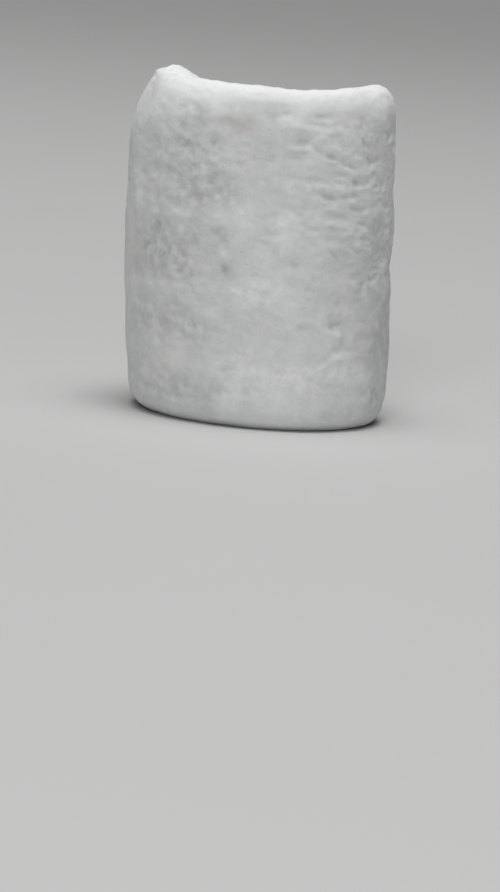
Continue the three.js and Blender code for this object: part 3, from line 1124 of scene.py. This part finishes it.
def smudgeAndPaintedShadingTone(tree, vector, finish, color):
    # smudges with painted shade and painted light, and stains, broken up by fine noise
    grain = addNoise(tree, vector, finish["smudgeAndPaintedShadingDensity"], "fine")
    least, most = 1.0 - finish["smudgeAndPaintedShadingGrain"], 1.0 + finish["smudgeAndPaintedShadingGrain"]
    broken = addRange(tree, grain, *finish["smudgeAndPaintedShadingBar"], least, most)
    smudgeAndPaintedShading = addMath(tree, "MULTIPLY", addAttribute(tree, "smudgedAndPaintedShading"), broken)
    lost = addMath(tree, "MULTIPLY", smudgeAndPaintedShading, finish["smudgeAndPaintedShadingDark"])
    color = addShade(tree, color, addMath(tree, "SUBTRACT", 1.0, lost))
    stain = addMath(tree, "MULTIPLY", addAttribute(tree, "stained"), broken)
    return addMix(tree, stain, color, finish["stain"])


def hollowAndPoreShade(tree, finish, color, pores):
    # painted shade: hollows and pores are a little darker
    depth = addRange(tree, addAttribute(tree, "hollow"), 0.0, finish["hollowDeep"])
    hollowDark = addMath(tree, "MULTIPLY", depth, finish["hollowShade"])
    poreDark = addMath(tree, "MULTIPLY", pores.outputs["Mask"], finish["poreShade"])
    shade = addMath(tree, "SUBTRACT", 1.0, hollowDark)
    return addShade(tree, color, addMath(tree, "SUBTRACT", shade, poreDark))


def foamBump(tree, vector, finish, dust, pores):
    grain = addNoise(tree, vector, finish["grainDensity"], "fine")
    grainHigh = addMath(tree, "MULTIPLY", grain, finish["grainBump"])
    dustHigh = addMath(tree, "MULTIPLY", dust.outputs["Height"], finish["dustBump"])
    poreDeep = addMath(tree, "MULTIPLY", pores.outputs["Mask"], finish["poreBump"])
    height = addMath(tree, "ADD", grainHigh, dustHigh)
    return addBump(tree, addMath(tree, "SUBTRACT", height, poreDeep))


def makeFoamMaterial(finish):
    material, tree, shader = newMaterial("whiteFoam")
    vector = addMillimetres(tree)
    dust = addGroup(tree, dustGroup, vector, **finish["dust"])
    pores = addGroup(tree, poreGroup, vector, **finish["pores"])
    color = foamTone(tree, vector, finish, dust)
    color = smudgeAndPaintedShadingTone(tree, vector, finish, color)
    color = hollowAndPoreShade(tree, finish, color, pores)
    tree.links.new(color, shader.inputs["Base Color"])

    bareRough, dustRough = finish["roughness"]
    rough = addMath(tree, "MULTIPLY", dust.outputs["Mask"], dustRough - bareRough)
    tree.links.new(addMath(tree, "ADD", rough, bareRough), shader.inputs["Roughness"])
    tree.links.new(foamBump(tree, vector, finish, dust, pores), shader.inputs["Normal"])
    setSockets(shader, finish["sockets"])
    return material


def makeMottledMaterial(name, finish):
    # for the starch clumps and the floor
    material, tree, shader = newMaterial(name)
    density, contrast = finish["mottle"]
    mottle = addGroup(tree, mottleGroup, addMillimetres(tree), Density=density, Contrast=contrast)
    plain = tree.nodes.new("ShaderNodeRGB")
    plain.outputs["Color"].default_value = (*finish["color"], 1.0)
    color = addShade(tree, plain.outputs["Color"], mottle.outputs["Shade"])
    tree.links.new(color, shader.inputs["Base Color"])
    setSockets(shader, finish["sockets"])
    return material


clumpFinish = {
    "color": (0.845, 0.846, 0.848),
    "mottle": (6.0, 0.12),            # density and contrast
    "sockets": {
        "Roughness": 0.95,
        "Specular IOR Level": 0.2,
        "Sheen Weight": 0.2,
        "Sheen Roughness": 0.5,
    },
}

skin.data.materials.append(makeFoamMaterial(foamFinish))
clumps.data.materials.append(makeMottledMaterial("starchClump", clumpFinish))
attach(skin, "root")
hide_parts("marshmallow")
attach(clumps, "root")
print("materials made")


floorSetup = {
    "half": 6.0,
    "faces": 8,               # along each side
    "color": (0.58, 0.58, 0.577),
    "mottle": (0.02, 0.02),
    "sockets": {"Roughness": 0.8, "Specular IOR Level": 0.1},
}
worldStrength = 0.025
# even light from above, and two soft boxes; azimuth 0 is the front, and it grows towards +X
lights = [
    {"name": "roomLight", "azimuth": 0.0, "elevation": 85.0, "away": 1.0, "power": 1.44, "softness": 50.0},
    {"name": "topBox", "azimuth": 0.0, "elevation": 85.0, "away": 1.2, "power": 5.2, "size": 0.5},
    {"name": "frontBox", "azimuth": -8.0, "elevation": 25.0, "away": 1.0, "power": 2.2, "size": 0.3},
]
lightAim = Vector((0.0, 0.0, 17.0 * mm))


def buildFloor(setup):
    bm = bmesh.new()
    bmesh.ops.create_grid(bm, x_segments=setup["faces"], y_segments=setup["faces"], size=setup["half"])
    floor = pieceFrom(bm, "paleFloor")
    floor.data.materials.append(makeMottledMaterial("floorPaper", setup))


def buildLight(setup):
    turn = math.radians(setup["azimuth"])
    up = math.radians(setup["elevation"])
    outward = Vector((math.sin(turn) * math.cos(up), -math.cos(turn) * math.cos(up), math.sin(up)))
    if "softness" in setup:
        data = bpy.data.lights.new(setup["name"], "SUN")
        data.angle = math.radians(setup["softness"])
    else:
        data = bpy.data.lights.new(setup["name"], "AREA")
        data.shape = "DISK"
        data.size = setup["size"]
    data.energy = setup["power"]
    light = bpy.data.objects.new(setup["name"], data)
    light.location = lightAim + outward * setup["away"]
    light.rotation_euler = (-outward).to_track_quat("-Z", "Y").to_euler()
    bpy.context.scene.collection.objects.link(light)


def buildWorld(strength):
    world = bpy.data.worlds.new("studio")
    world.use_nodes = True
    backdrop = world.node_tree.nodes["Background"]
    backdrop.inputs["Color"].default_value = (1.0, 1.0, 1.0, 1.0)
    backdrop.inputs["Strength"].default_value = strength
    bpy.context.scene.world = world


buildFloor(floorSetup)
for entry in lights:
    buildLight(entry)
buildWorld(worldStrength)
bpy.context.scene.view_settings.view_transform = "Standard"
print("floor and light set")
